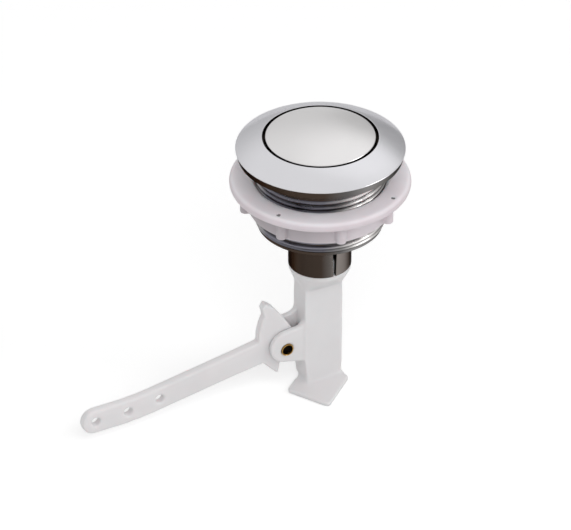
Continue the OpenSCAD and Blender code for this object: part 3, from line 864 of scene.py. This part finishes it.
def seen_or_mirrored(tree):
    """One where a surface or the sky is seen, mirrored or seen through glass, and nothing where it only lights."""
    path = tree.nodes.new("ShaderNodeLightPath")
    seen = path.outputs["Is Camera Ray"]
    for name in ("Is Glossy Ray", "Is Transmission Ray"):
        either = tree.nodes.new("ShaderNodeMath")
        either.operation = "MAXIMUM"
        tree.links.new(seen, either.inputs[0])
        tree.links.new(path.outputs[name], either.inputs[1])
        seen = either.outputs["Value"]
    return seen


def when_seen(tree, otherwise, seen, socket):
    """Sets a socket to one value where it is seen or mirrored, and to another elsewhere."""
    choice = tree.nodes.new("ShaderNodeMapRange")
    choice.inputs["To Min"].default_value = otherwise
    choice.inputs["To Max"].default_value = seen
    tree.links.new(seen_or_mirrored(tree), choice.inputs["Value"])
    tree.links.new(choice.outputs["Result"], socket)


def lay_floor(stage):
    """A wide pale floor under the foot plate."""
    bm = bmesh.new()
    bmesh.ops.create_grid(bm, x_segments=1, y_segments=1, size=6)
    bmesh.ops.translate(bm, vec=(0, 0, FOOT_Z), verts=bm.verts)
    mesh = bpy.data.meshes.new("floor")
    bm.to_mesh(mesh)
    bm.free()
    floor = bpy.data.objects.new("floor", mesh)
    bpy.context.scene.collection.objects.link(floor)
    material = new_material("floor")
    shader = shader_of(material)
    shader.inputs["Base Color"].default_value = (*stage.floor, 1)
    shader.inputs["Roughness"].default_value = 0.9
    shader.inputs["Specular IOR Level"].default_value = 0.0
    shader.inputs["Emission Color"].default_value = (1, 1, 1, 1)
    when_seen(material.node_tree, 0, stage.floor_lift, shader.inputs["Emission Strength"])
    mesh.materials.append(material)


def light_sky(stage):
    """A soft surrounding that is brighter overhead, with one bright and one dim patch."""
    world = bpy.data.worlds.new("studio")
    bpy.context.scene.world = world
    world.use_nodes = True
    nodes, links = world.node_tree.nodes, world.node_tree.links
    place = nodes.new("ShaderNodeTexCoord")

    def patch(direction, start, end, low, high):
        towards = nodes.new("ShaderNodeVectorMath")
        towards.operation = "DOT_PRODUCT"
        towards.inputs[1].default_value = Vector(direction).normalized()
        links.new(place.outputs["Generated"], towards.inputs[0])
        fade = nodes.new("ShaderNodeMapRange")
        fade.interpolation_type = "SMOOTHSTEP"
        for name, value in (("From Min", start), ("From Max", end), ("To Min", low), ("To Max", high)):
            fade.inputs[name].default_value = value
        links.new(towards.outputs["Value"], fade.inputs["Value"])
        return fade.outputs["Result"]

    sky = patch((0, 0, 1), 0.25, 0.7, stage.sky_low, stage.sky_high)
    for part in (patch((0.52, 0.35, 0.78), 0.86, 0.98, 0, stage.glow),
                 patch((0.66, -0.5, 0.48), 0.957, 0.988, 0, stage.glint),
                 patch((0.8, 0.55, 0.2), 0.88, 0.985, 0, -stage.shade)):
        total = nodes.new("ShaderNodeMath")
        links.new(sky, total.inputs[0])
        links.new(part, total.inputs[1])
        sky = total.outputs["Value"]
    links.new(sky, nodes["Background"].inputs["Color"])
    when_seen(world.node_tree, stage.sky_share, 1, nodes["Background"].inputs["Strength"])


def direction(turn, rise):
    """The way to a place that is turned round the object and raised over the horizon, from its front."""
    return Vector((math.sin(turn) * math.cos(rise), -math.cos(turn) * math.cos(rise), math.sin(rise)))


def place_camera(stage):
    """The camera at the photograph's angle, with the object where it stands in the frame."""
    turn = stage.azimuth
    back = direction(turn, stage.elevation)
    right = Vector((math.cos(turn), math.sin(turn), 0))
    up = back.cross(right)
    across, down = -15.309 * MM, -51.831 * MM
    aim = right * across + up * down + Vector((0, 0, 3.7 * MM))
    data = bpy.data.cameras.new("camera")
    data.sensor_width = 36
    data.lens = 230.22
    data.clip_start, data.clip_end = 0.1, 30
    camera = bpy.data.objects.new("camera", data)
    bpy.context.scene.collection.objects.link(camera)
    camera.location = aim + back * stage.distance
    camera.rotation_mode = "QUATERNION"
    camera.rotation_quaternion = (-back).to_track_quat("-Z", "Y")
    bpy.context.scene.camera = camera


class PUSHBUTTON_OT_stage(bpy.types.Operator):
    """Lays the floor and sets the lamps, the surroundings and the camera"""

    bl_idname = "push_button.stage"
    bl_label = "Stage"

    def execute(self, context):
        stage = settings().stage
        lay_floor(stage)
        light_sky(stage)
        key_place = direction(stage.key_turn, stage.key_rise) * stage.key_reach
        key = area_lamp("key", key_place, (0, 0, FOOT_Z / 2), stage.key_size, stage.key)
        key.visible_glossy = False
        place_camera(stage)
        context.scene.view_settings.view_transform = "Standard"
        return {"FINISHED"}


PIECES = (
    PUSHBUTTON_OT_bezel,
    PUSHBUTTON_OT_cap,
    PUSHBUTTON_OT_inner_tube,
    PUSHBUTTON_OT_plunger,
    PUSHBUTTON_OT_spring,
    PUSHBUTTON_OT_lock_nut,
    PUSHBUTTON_OT_frame,
    PUSHBUTTON_OT_pin,
    PUSHBUTTON_OT_lever,
    PUSHBUTTON_OT_stage,
)


class PushButtonSettings(bpy.types.PropertyGroup):
    """All sizes and colours of the push button"""

    bezel: bpy.props.PointerProperty(type=BezelSizes, name="Bezel", description="Flange and sleeve")
    button: bpy.props.PointerProperty(type=ButtonSizes, name="Button", description="Cap and spring")
    plastics: bpy.props.PointerProperty(type=PlasticSizes, name="Plastics", description="Moulded edges")
    finishes: bpy.props.PointerProperty(type=Finishes, name="Finishes", description="Colours and gloss")
    stage: bpy.props.PointerProperty(type=StageSettings, name="Stage", description="Floor, light and camera")


class PUSHBUTTON_PT_panel(bpy.types.Panel):
    """The pieces of the push button, in the sidebar"""

    bl_idname = "PUSHBUTTON_PT_panel"
    bl_label = "Cistern Push Button"
    bl_space_type = "VIEW_3D"
    bl_region_type = "UI"
    bl_category = "Push Button"

    def draw(self, context):
        for operator in PIECES:
            self.layout.operator(operator.bl_idname)


CLASSES = (BezelSizes, ButtonSizes, PlasticSizes, Finishes, StageSettings, PushButtonSettings, *PIECES,
           PUSHBUTTON_PT_panel)


def register():
    for cls in CLASSES:
        bpy.utils.register_class(cls)
    bpy.types.Scene.push_button = bpy.props.PointerProperty(type=PushButtonSettings)


def unregister():
    del bpy.types.Scene.push_button
    for cls in reversed(CLASSES):
        bpy.utils.unregister_class(cls)


def main():
    """Makes every piece and the stage."""
    register()
    bpy.ops.push_button.bezel()
    bpy.ops.push_button.cap()
    bpy.ops.push_button.inner_tube()
    bpy.ops.push_button.plunger()
    bpy.ops.push_button.spring()
    bpy.ops.push_button.lock_nut()
    bpy.ops.push_button.frame()
    bpy.ops.push_button.pin()
    bpy.ops.push_button.lever()
    bpy.ops.push_button.stage()


if __name__ == "__main__":
    main()
